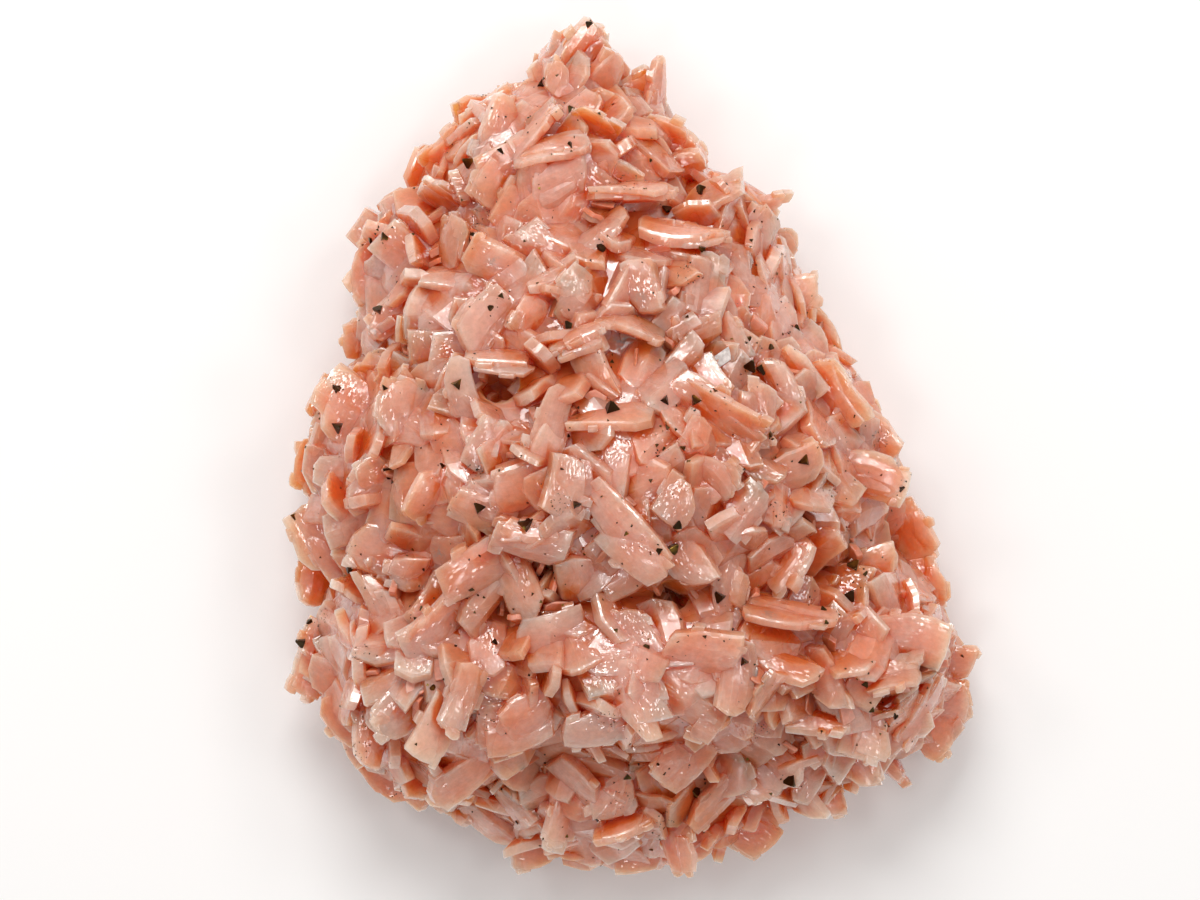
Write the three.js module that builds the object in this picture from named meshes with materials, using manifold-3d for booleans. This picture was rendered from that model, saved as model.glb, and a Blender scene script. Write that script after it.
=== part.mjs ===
// A cabinet specimen of pink saddle dolomite, sprinkled with small chalcopyrite crystals.
// It lies on the flat face where it was parted from the rock: +Z is up, out of that face, and +Y points to
// the summit. The origin is under the middle of the specimen, on the resting face.
// Lengths are in millimetres, angles in degrees.
import * as THREE from "three";
import { mergeVertices } from "three/addons/utils/BufferGeometryUtils.js";
import Module from "manifold-3d";

const wasm = await Module();
wasm.setup();

// ---- Driving dimensions ----

// Rounded lobes that the crystals cover: each is an ellipsoid with its centre and its three radii.
const lobes = [
  { name: "heart", centre: [-3.5, -3, 9.5], radii: [32.5, 23, 25.5] },
  { name: "belly", centre: [1, -23, 9.5], radii: [28, 14, 22.5] },
  { name: "chest", centre: [-5.5, 12, 9.5], radii: [25.5, 21, 21] },
  { name: "crown", centre: [-8, 28, 8.5], radii: [16, 14, 17] },
  { name: "summit", centre: [-6.5, 40, 8], radii: [4.6, 7.5, 9] },
  { name: "left_shoulder", centre: [-23.5, 20.5, 8.5], radii: [7.2, 9, 12] },
  { name: "right_shoulder", centre: [8, 24, 8.5], radii: [7.5, 8, 13] },
  { name: "left_flank", centre: [-22, -4, 9.5], radii: [14.5, 16, 18] },
  { name: "right_knob", centre: [24, -2, 8.5], radii: [5.5, 8, 12] },
  { name: "left_foot", centre: [-19.5, -24, 9.5], radii: [16.5, 15.5, 20] },
  { name: "right_foot", centre: [23, -24, 8.5], radii: [13, 13.5, 17] },
  { name: "lower_step", centre: [-1, -34, 8], radii: [19, 13.5, 12.5] },
  { name: "lower_corner", centre: [16, -33, 7.5], radii: [10, 8.5, 12] },
];
const lobeSegments = [8, 6];
const facetAllowance = 1.05; // a lobe is this much larger, so that its facets don't sink too far in
const skinReach = 1.35; // in a lobe's radii: how far out from its middle its skin still holds crystals

// Large crystals placed one by one. Each row is: x, y, lift above the lobe, turn of the long edge from +X,
// roll about the long edge (0 lies flat, 90 stands on edge), length, width, thickness.
const largeCrystals = [
  // summit and its blade
  [-6.2, 45.4, 0, 50, 20, 7.4, 5.6, 4], [-3.6, 42.8, 1, 55, 40, 7.5, 4.8, 3.5],
  [-9.4, 43.8, 0, 48, -15, 6, 4.4, 3], [-8.7, 42.2, 2.5, 75, 5, 4.6, 3.4, 3],
  [2.4, 40.6, 3, 83, 64, 11, 4.6, 3.2], [-0.6, 41, 2, 25, 40, 6, 5, 3],
  [4.2, 35, 0, -30, 30, 7, 5.6, 3.2],
  // crown
  [-16.8, 38.2, 0, 25, 20, 7, 5.2, 3.2], [-21.6, 34, 0, 40, 30, 7, 5, 3],
  [-24.8, 32.2, 0, 70, 30, 6, 4, 3], [-15.6, 36.4, 2, 72, 12, 9, 4.2, 3.2],
  [-11.2, 35.8, 2, 46, -70, 9.5, 5, 3.2], [-4.4, 36.4, 1, -28, 50, 6, 4, 3],
  [-9.4, 33.4, 2.5, 14, -55, 10.5, 5, 3], [-8.5, 30.2, 1.2, 20, 8, 7.5, 5.5, 3],
  [-16.4, 30, 1.5, 62, 10, 6, 4.2, 3], [-14.2, 27, 1, 60, 15, 6, 4.2, 3],
  [-0.4, 28.8, 2.5, 3, -75, 11.5, 5, 3.4], [5.4, 32.2, 1, 18, 35, 6.5, 4.5, 3],
  [-21.6, 28.4, 1, -30, 60, 7.5, 4, 3],
  // shoulders
  [8.6, 28.4, 2, 26, -45, 9, 5, 3], [14.2, 28, 1.5, 7, 55, 7, 4, 2.6],
  [14, 24.8, 1, 62, 18, 6.5, 4.8, 3], [5, 24, 2.5, -9, -72, 10.5, 5, 3.2],
  [16.4, 23, 0, 65, 20, 6, 4.8, 3], [18.6, 17.8, 1, 15, 12, 6, 4.8, 3],
  [-30.2, 20.6, 0.5, 60, 15, 8, 6, 4], [-28, 14.8, 1, 40, 10, 6.5, 4.4, 3],
  // chest
  [0.8, 18, 2, -78, 10, 7.4, 4.6, 3], [7.2, 18.2, 1.5, 85, 28, 7.5, 4, 3],
  [10.4, 12.6, 1.5, -70, 8, 6.8, 4.8, 3], [6.8, 12.6, 1, 22, 20, 7, 4.4, 3],
  [21.6, 13.6, 0, -65, 20, 7.5, 4.2, 3], [-20.6, 23, 1.5, 80, -45, 6.4, 4.2, 3],
  [-16, 21, 2.2, -24, 20, 7.2, 5.2, 3], [-11, 22.6, 0.8, -45, 10, 6.4, 5, 3],
  [-3.6, 24.2, 1.5, 36, -50, 8, 4.8, 3], [-9, 19.2, 1.8, 30, -62, 7.5, 4, 2.8],
  [-16.8, 14.2, 1.6, 50, 14, 8.5, 6, 3.6], [-11.8, 15, 1, 60, 25, 5.6, 4.4, 3],
  [-15.2, 10, 2.2, 0, -68, 8, 5, 2.8], [-6.4, 16.4, 1.4, 52, 16, 7, 5, 3],
  [-6.6, 12.2, 2, 24, -60, 7.5, 4, 2.8], [-0.6, 13.6, 2, -20, -65, 8.5, 5, 2.8],
  [-24, 15, 1, 80, 15, 7.5, 4.8, 3], [-31.2, 12.6, 0, 20, 15, 6.5, 4.6, 3],
  // heart, upper half
  [-4.2, 8.4, 1.6, -60, 30, 9.5, 4.6, 3], [5.6, 10, 1, 50, 20, 6, 4, 3],
  [-19, 6, 2.2, -70, 16, 10, 4.2, 3], [-9.4, 2.6, 2, 74, 16, 10.5, 4.4, 3.2],
  [-2.8, 3.2, 1.6, 4, -60, 11, 5, 2.8], [7, 5.6, 1.4, -38, 12, 7.6, 5.2, 3],
  [-29.2, 9.6, 2, -10, 30, 4.4, 3.6, 2.6], [-35.4, 6.2, 0, 62, 35, 8, 4.4, 3],
  [-32.4, 4, 2, 70, 8, 9, 7.2, 3.2], [-26.2, 4.4, 2, 75, 10, 8, 6.4, 3],
  [-16.6, 0.2, 1.6, 62, 15, 7, 5, 3], [10, 4, 2, -30, 40, 11.5, 5, 3], [14, 3.6, 2, 86, 14, 8, 4.2, 3],
  [16.6, 6.6, 1, -70, 14, 8.4, 4, 3], [18.6, 8.4, 0.6, -50, 30, 8, 5, 3],
  [22.4, 6, 1.4, -56, 35, 10, 4.6, 3], [27.8, 1.2, 1, -50, 18, 7, 5.4, 3],
  [6.8, 0.4, 1, 70, 20, 6, 5, 3],
  // heart, lower half
  [26.4, -3.8, 2, -8, 18, 10.5, 5.2, 3.4], [17.8, -2, 1.4, 20, 14, 7.6, 5.2, 3],
  [19.6, -5.4, 1.8, -20, -50, 6.5, 5, 3], [15.6, -6.2, 1, 88, 10, 6, 3.4, 3],
  [-37.6, -2, 0, 84, 20, 7, 4.6, 3], [-35, -10.2, 1.8, -60, 12, 10.2, 7, 3.4],
  [-37.2, -15.6, 0, 82, 20, 6.5, 5, 3.4], [-28, -12, 2, -22, 12, 10, 7, 3.4],
  [-25.4, -14, 3, -8, 8, 5.4, 4.8, 3.4], [-29.6, -4.6, 0.8, 30, 15, 7.6, 5.4, 3],
  [-23.6, -5.2, 2.4, 58, 35, 7, 4.6, 3.2], [-19.4, -4.4, 1, 80, 6, 5.4, 4.6, 3],
  [-16.4, -6.6, 1.4, -24, 16, 7.6, 5, 3], [-12.6, -3.8, 1, 22, 16, 7.6, 6.2, 3.4],
  [-8, -4.2, 2.4, 76, 10, 7.8, 5, 3.2], [-11.4, -10.2, 2, -16, 24, 9.6, 5.4, 3.4],
  [-1.2, -8.6, 2.6, -50, 24, 14, 5.6, 3.6], [5.6, -12.2, 1.6, -60, 12, 7.8, 5.8, 3],
  [4.4, -6, 3, 62, 6, 5.8, 5.2, 3], [8.6, -3.4, 1.4, -42, 25, 6.6, 4.6, 3],
  [12, -7, 1.6, 52, 18, 7.6, 5.2, 3], [28.2, -8.6, 0.6, 12, 20, 7.4, 5.6, 3],
  [32, -9.4, 0, -65, 18, 8.4, 5.2, 3], [10.4, -15, 2, 82, 24, 8.6, 4.2, 3],
  [17.6, -12.8, 1.8, 58, -40, 7.6, 5, 3],
  // belly and left foot
  [-17.8, -13.4, 3, 32, 8, 10, 5.8, 4], [-17.2, -17.4, 3.4, 50, 28, 7.6, 4.2, 3.4],
  [-22.4, -19.6, 2.2, 45, 26, 11, 4.8, 3.4], [-12.8, -15.4, 2, -70, 14, 9, 5.2, 3.2],
  [-28.4, -18, 1, -65, 20, 9.4, 4.4, 3], [-35.8, -23.4, 0.4, 75, 10, 8.4, 6.4, 4],
  [-37.4, -26, 0, 70, 15, 7, 5, 3.4], [-32.8, -31, 0, -50, 14, 8, 5.4, 3.2],
  [-29.8, -32, 1, 76, 12, 9.4, 4.8, 3], [-26.4, -29.2, 1.6, 50, 10, 8, 6.2, 3.2],
  [-22.6, -31, 3.2, 65, 24, 9, 4.2, 3.2], [-19.4, -27.8, 3, 68, 22, 9.2, 4, 3.2],
  [-28, -38, 0.4, -50, 10, 8.6, 6.8, 4], [-18.8, -36.6, 2.4, 37, 38, 12, 5.2, 4],
  [-13, -31.2, 2.8, 22, 14, 9.4, 6.2, 4], [-9.4, -20.4, 1.6, 14, 18, 9, 5.4, 3.2],
  [0.4, -20.6, 0.8, -60, 14, 7, 4.8, 3], [7.4, -22.4, 2, -10, 28, 9.6, 6.4, 3.4],
  [-0.2, -28, 1.8, -70, 10, 11, 4.8, 3], [7.6, -29.8, 2, -30, 28, 6, 4.8, 3],
  [-4.4, -31.2, 2.6, 8, 26, 8.6, 5.4, 3.6], [5.4, -35, 3.6, 52, 14, 8.6, 6.6, 3.2],
  // right foot
  [17.6, -18.4, 2.6, -12, -66, 12, 5.2, 3.6], [26.8, -13.6, 1.8, 16, 16, 7, 5.4, 3],
  [33.6, -16, 0, -78, 14, 8, 5.2, 3.2], [31, -21.6, 2, -10, 10, 10, 6.8, 3.4],
  [36.6, -25, 0, -4, 15, 7, 5.4, 3.2], [29, -26, 2, 16, -48, 7.4, 4.4, 3],
  [32.6, -29.8, 1.6, 60, 60, 9.6, 4.4, 3], [36.4, -30, 0, 20, 14, 6.6, 6, 3.4],
  [35.6, -33.4, 0, 52, 15, 6.6, 4.8, 3.2], [25.6, -32, 1, 84, 16, 7.6, 5.6, 3],
  [16.6, -24.2, 2, -20, -55, 10, 5, 3.2], [21.2, -25.6, 1.8, -70, 20, 8.4, 5, 3],
  [10.8, -25.8, 2.6, 85, 18, 9, 4, 3.2], [14.4, -27.6, 2.2, 55, 62, 7, 4.2, 2.2],
  [20.8, -31, 2, -12, -52, 8.6, 4.4, 3], [18.8, -35.4, 1.4, 20, -60, 6, 4.4, 3],
  // crust under the ledge
  [-3.8, -36.4, 0.8, -15, 20, 8.6, 4.4, 3], [-6.6, -37.6, 1.8, -45, 50, 7.6, 4.4, 3],
  [-2.4, -39.8, 1.4, 22, 12, 5.6, 5.2, 3], [-13.8, -41.2, 1, -50, 60, 8.8, 4.4, 3],
  [-8.6, -42.2, 1.6, 74, 42, 8.2, 4, 3], [-17, -43.4, 0.4, -40, 55, 8.6, 4.4, 3],
  [-1.2, -43.2, 2, 22, -60, 8.2, 4.4, 3.2], [4.4, -44.6, 1.4, -76, 45, 9.4, 4.4, 3],
  [0.6, -47, 0, 4, 15, 6.6, 5.4, 3], [8.8, -40.8, 1.8, 46, 40, 8, 4.8, 3],
  [10.2, -36.8, 1.4, -60, 14, 6.6, 5.2, 3], [14.2, -37.6, 1.2, -50, 12, 7, 5.4, 3],
  [21.8, -39.8, 0, -70, 14, 7, 5.2, 3], [26, -35.8, 0.4, -75, 16, 7, 4.8, 3],
  [13, -44.6, 0, -30, 18, 8.4, 5.4, 3], [-11, -46.4, 0, 15, 14, 7.6, 5, 3],
];
const largeShare = 0.88; // of each row's length, width and thickness
const crystal = { length: 7, width: 4.9, thickness: 2.8, share: [0.85, 1.15], twist: 0.45, skew: 0.2 };

// The sites of the other crystals: how far apart they are, the lowest of them, how far a crystal is sunk in,
// how much its lean wanders from its neighbours', and how much it lies along the lobe's skin.
const sites = {
  spacing: 6.8, room: [0.8, 1.2], triesPerRoom: 6, lowest: 6, sink: 0.6, wander: 1.1, outward: 1,
};
const goldenAngle = Math.PI * (3 - Math.sqrt(5));

// The slow waves that neighbouring crystals lean by: turns per millimetre along X, Y and Z, and the start.
const leanWaves = [[0.31, 0.17, 0, 0], [0, 0.27, -0.23, 2], [0.21, 0, 0.29, 4]];

const restingSlab = { side: 200, depth: 60 }; // cut away below the resting face
const seeds = { large: 11, sites: 7, chalcopyrite: 23 };

// Chalcopyrite crystals on the dolomite, each with its place seen from above and its size.
const chalcopyrites = [
  [-2.7, 4, 1.5], [17.9, -37.8, 1.4], [-12, -8.5, 1.6], [12.9, 9, 1.3], [-10.6, 41.6, 1.2],
  [-18.7, 32.4, 1.2], [-19.7, 7.1, 1.2], [-33.8, 2.5, 1.3], [-27.5, -2.8, 1.3], [-17.3, -6.6, 1.2],
  [-6.6, -6.2, 1.2], [3.2, 5.2, 1], [6.7, 5.3, 1.1], [18.9, -1.4, 1.2], [4, -11.3, 1.2],
  [9.4, -16.6, 1.2], [24.4, -16.9, 1.2], [24.9, -13.4, 1.3], [11.9, -23.7, 1.1], [-38.1, -22.4, 1.1],
  [-4.3, -42.2, 1.1], [7, -39.4, 1.2], [-7.3, 13.4, 1], [-28.5, 24.1, 0.9], [-18.3, 23.9, 1],
  [-4, 22.4, 1.1], [3.6, 27, 1], [7.6, 29.3, 1], [-29.1, 15.7, 1.1], [-33.9, 6.7, 1],
];
const chalcopyriteGap = 0.15; // between a chalcopyrite crystal and the dolomite round it
const wedge = { radius: 0.9, cutRadius: 2, lift: 0.2 }; // in crystal sizes
const skyHeight = 100;

// ---- Small helpers ----

const radians = THREE.MathUtils.degToRad;

// A repeatable stream of numbers from 0 to 1.
function randomStream(seed) {
  const modulus = 2147483647;
  let state = seed;
  return () => {
    state = (state * 48271) % modulus;
    return state / modulus;
  };
}

function between(random, [low, high]) {
  return low + (high - low) * random();
}

function randomDirection(random) {
  const height = 2 * random() - 1;
  const turn = 2 * Math.PI * random();
  const ring = Math.sqrt(1 - height * height);
  return new THREE.Vector3(ring * Math.cos(turn), ring * Math.sin(turn), height);
}

// A closed three.js geometry as a manifold-3d solid.
function solidOf(geometry) {
  const bare = geometry.clone();
  bare.deleteAttribute("normal");
  bare.deleteAttribute("uv");
  const merged = mergeVertices(bare, 1e-4);
  return new wasm.Manifold(
    new wasm.Mesh({
      numProp: 3,
      vertProperties: new Float32Array(merged.attributes.position.array),
      triVerts: new Uint32Array(merged.index.array),
    }),
  );
}

function geometryOf(solid) {
  const mesh = solid.getMesh();
  const geometry = new THREE.BufferGeometry();
  geometry.setAttribute("position", new THREE.BufferAttribute(mesh.vertProperties, 3));
  geometry.setIndex(new THREE.BufferAttribute(mesh.triVerts, 1));
  return geometry;
}

// The largest body of a solid, without any loose chip or closed hollow that its joins left behind.
function mainBody(solid) {
  return solid.decompose().reduce((best, body) => (body.volume() > best.volume() ? body : best));
}

// ---- Body ----

// A faceted ellipsoid.
function lobeSolid({ centre, radii }) {
  const shape = new THREE.SphereGeometry(1, ...lobeSegments);
  shape.rotateX(Math.PI / 2);
  shape.scale(...radii.map((radius) => radius * facetAllowance));
  shape.translate(...centre);
  return solidOf(shape);
}

// How far out a point lies from a lobe's centre: under 1 is inside.
function reach({ centre, radii }, point) {
  return Math.hypot(
    (point.x - centre[0]) / radii[0],
    (point.y - centre[1]) / radii[1],
    (point.z - centre[2]) / radii[2],
  );
}

// The height of the lobes' skin over a place, which just outside a lobe is that of its widest part.
function skinHeight(x, y) {
  let height = 0;
  for (const { centre, radii } of lobes) {
    const out = Math.hypot((x - centre[0]) / radii[0], (y - centre[1]) / radii[1]);
    if (out > skinReach) continue;
    height = Math.max(height, centre[2] + radii[2] * Math.sqrt(Math.max(1 - out * out, 0)));
  }
  return height;
}

// Points spread over the exposed skin of the lobes, each with the skin's outward direction.
function growthSites(taken) {
  const random = randomStream(seeds.sites);
  const found = [];
  for (const lobe of lobes) {
    const [rx, ry, rz] = lobe.radii;
    const skin = (4 * Math.PI * (rx * ry + ry * rz + rz * rx)) / 3;
    const tries = Math.round((sites.triesPerRoom * skin) / sites.spacing ** 2);
    for (let i = 0; i < tries; i++) {
      const height = 1 - (2 * (i + 0.5)) / tries;
      const ring = Math.sqrt(1 - height * height);
      const turn = i * goldenAngle + random();
      const unit = new THREE.Vector3(ring * Math.cos(turn), ring * Math.sin(turn), height);
      const radii = new THREE.Vector3(...lobe.radii);
      const point = unit.clone().multiply(radii).add(new THREE.Vector3(...lobe.centre));
      const room = sites.spacing * between(random, sites.room);
      if (point.z < sites.lowest) continue;
      if (lobes.some((other) => other !== lobe && reach(other, point) < 1)) continue;
      if (taken.some((place) => place.distanceTo(point) < room)) continue;
      if (found.some((site) => site.point.distanceTo(point) < room)) continue;
      found.push({ point, normal: unit.divide(radii).normalize() });
    }
  }
  return found;
}

// ---- Crystals ----

// One saddle-shaped rhomb, long along X and flat across Z: two opposite corners rise and the other two fall.
function saddleCrystal([length, width, thickness], twist) {
  const shape = new THREE.BoxGeometry(length, width, thickness);
  const corner = shape.attributes.position;
  for (let i = 0; i < corner.count; i++) {
    const along = Math.sign(corner.getX(i));
    const across = Math.sign(corner.getY(i));
    corner.setX(i, corner.getX(i) + crystal.skew * corner.getY(i));
    corner.setZ(i, corner.getZ(i) + twist * along * across);
  }
  return shape;
}

function placedCrystal(size, twist, long, side, flat, middle) {
  const shape = saddleCrystal(size, twist);
  shape.applyMatrix4(new THREE.Matrix4().makeBasis(long, side, flat).setPosition(middle));
  return solidOf(shape);
}

function largeCrystal([x, y, lift, turn, roll, ...sides], twist) {
  const long = new THREE.Vector3(Math.cos(radians(turn)), Math.sin(radians(turn)), 0);
  const side = new THREE.Vector3(-long.y, long.x, 0).applyAxisAngle(long, radians(roll));
  const flat = new THREE.Vector3().crossVectors(long, side);
  const middle = new THREE.Vector3(x, y, skinHeight(x, y) + lift);
  const size = sides.map((length) => length * largeShare);
  return placedCrystal(size, twist, long, side, flat, middle);
}

// Neighbouring crystals lean alike, so the flat side's direction follows slow waves through the cluster.
function lean(point) {
  return new THREE.Vector3(
    ...leanWaves.map(([x, y, z, start]) => Math.sin(x * point.x + y * point.y + z * point.z + start)),
  );
}

function smallerCrystal(site, random) {
  const flat = lean(site.point).addScaledVector(randomDirection(random), sites.wander);
  flat.addScaledVector(site.normal, sites.outward).normalize();
  const side = new THREE.Vector3().crossVectors(flat, randomDirection(random)).normalize();
  const long = new THREE.Vector3().crossVectors(side, flat);
  const share = between(random, crystal.share);
  const size = [crystal.length * share, crystal.width * share, crystal.thickness * share];
  const twist = between(random, [-crystal.twist, crystal.twist]);
  const middle = site.point.clone().addScaledVector(site.normal, -sites.sink * random());
  return placedCrystal(size, twist, long, side, flat, middle);
}

function dolomiteCluster() {
  let cluster = lobes.map(lobeSolid).reduce((whole, lobe) => whole.add(lobe));
  const random = randomStream(seeds.large);
  for (const row of largeCrystals) {
    cluster = cluster.add(largeCrystal(row, between(random, [-crystal.twist, crystal.twist])));
  }
  const taken = largeCrystals.map(([x, y, lift]) => new THREE.Vector3(x, y, skinHeight(x, y) + lift));
  for (const site of growthSites(taken)) cluster = cluster.add(smallerCrystal(site, random));
  const { side, depth } = restingSlab;
  const below = new THREE.BoxGeometry(side, side, depth).translate(0, 0, -depth / 2);
  return mainBody(cluster.subtract(solidOf(below)));
}

// ---- Chalcopyrite ----

// A wedge-like disphenoid: one tetrahedron with its corners cut off by a larger, reversed one. Its faces
// stand out by the gap, which moves its corners three times as far.
function disphenoid(size, gap, place) {
  const body = new THREE.TetrahedronGeometry(wedge.radius * size + 3 * gap);
  const corners = new THREE.TetrahedronGeometry(wedge.cutRadius * size + 3 * gap).rotateX(Math.PI / 2);
  return solidOf(body.applyMatrix4(place)).intersect(solidOf(corners.applyMatrix4(place)));
}

// Where a crystal sits: on the first dolomite face under the sky, with one corner pointing straight out of it.
function seatOn(surface, x, y, size, random) {
  const ray = new THREE.Raycaster(new THREE.Vector3(x, y, skyHeight), new THREE.Vector3(0, 0, -1));
  const [hit] = ray.intersectObject(surface);
  const corner = new THREE.Vector3(1, 1, 1).normalize();
  const upright = new THREE.Quaternion().setFromUnitVectors(corner, hit.face.normal);
  const spin = new THREE.Quaternion().setFromAxisAngle(hit.face.normal, 2 * Math.PI * random());
  const point = hit.point.addScaledVector(hit.face.normal, wedge.lift * size);
  return new THREE.Matrix4().compose(point, spin.multiply(upright), new THREE.Vector3(1, 1, 1));
}

const pink = new THREE.MeshStandardMaterial({ color: 0xd99a84, roughness: 0.35, metalness: 0 });
const brassy = new THREE.MeshStandardMaterial({ color: 0x5a4a22, roughness: 0.35, metalness: 0.9 });

let dolomite = dolomiteCluster();
const bareSurface = new THREE.Mesh(geometryOf(dolomite), pink);
const random = randomStream(seeds.chalcopyrite);
const specimen = new THREE.Group();
chalcopyrites.forEach(([x, y, size], i) => {
  const seat = seatOn(bareSurface, x, y, size, random);
  dolomite = dolomite.subtract(disphenoid(size, chalcopyriteGap, seat));
  const chalcopyrite = new THREE.Mesh(geometryOf(disphenoid(size, 0, seat)), brassy);
  chalcopyrite.name = `chalcopyrite_${String(i + 1).padStart(2, "0")}`;
  specimen.add(chalcopyrite);
});

const cluster = new THREE.Mesh(geometryOf(dolomite), pink);
cluster.name = "dolomite_cluster";
specimen.add(cluster);

export default specimen;
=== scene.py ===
import math

import bmesh
import bpy
import numpy as np
from mathutils import Matrix, Vector
from mathutils.bvhtree import BVHTree


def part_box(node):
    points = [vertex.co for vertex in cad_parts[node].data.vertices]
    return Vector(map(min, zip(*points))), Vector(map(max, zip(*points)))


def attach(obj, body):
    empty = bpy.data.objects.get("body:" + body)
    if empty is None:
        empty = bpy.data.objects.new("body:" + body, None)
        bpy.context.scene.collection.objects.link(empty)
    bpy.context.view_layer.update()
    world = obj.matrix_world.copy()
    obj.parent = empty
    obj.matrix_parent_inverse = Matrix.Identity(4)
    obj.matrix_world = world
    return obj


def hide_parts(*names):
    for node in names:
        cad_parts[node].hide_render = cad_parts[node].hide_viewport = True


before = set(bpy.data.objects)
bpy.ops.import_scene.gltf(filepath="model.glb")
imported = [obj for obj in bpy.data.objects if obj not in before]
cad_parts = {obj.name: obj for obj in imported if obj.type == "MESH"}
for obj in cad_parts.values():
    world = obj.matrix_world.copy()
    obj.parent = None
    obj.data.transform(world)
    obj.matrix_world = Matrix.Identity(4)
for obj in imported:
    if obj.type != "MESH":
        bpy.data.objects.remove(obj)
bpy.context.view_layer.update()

mm = 0.001  # all shapes are worked out in millimetres and scaled once, when they become objects
goldenAngle = math.pi * (3 - math.sqrt(5))


def randomStream(seed):
    state = seed

    def draw():
        nonlocal state
        state = state * 48271 % 2147483647
        return state / 2147483647

    return draw


def spread(draw, low, high):
    return low + (high - low) * draw()


def direction(height, turn):  # a unit vector, with its height from -1 to 1
    ring = math.sqrt(1 - height * height)
    return Vector((ring * math.cos(turn), ring * math.sin(turn), height))


def randomDirection(draw):
    return direction(2 * draw() - 1, 2 * math.pi * draw())


def linearColour(hexCode):
    channels = [int(hexCode[i:i + 2], 16) / 255 for i in (1, 3, 5)]
    return (*[c / 12.92 if c <= 0.04045 else ((c + 0.055) / 1.055) ** 2.4 for c in channels], 1)


def addNode(tree, kind, settings=None, **inputs):
    node = tree.nodes.new(kind)
    for name, value in (settings or {}).items():
        setattr(node, name, value)
    for name, value in inputs.items():
        socket = node.inputs[int(name[1:])] if name[1:].isdigit() else node.inputs[name.replace("_", " ")]
        if isinstance(value, bpy.types.NodeSocket):
            tree.links.new(value, socket)
        else:
            socket.default_value = value
    return node


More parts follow.
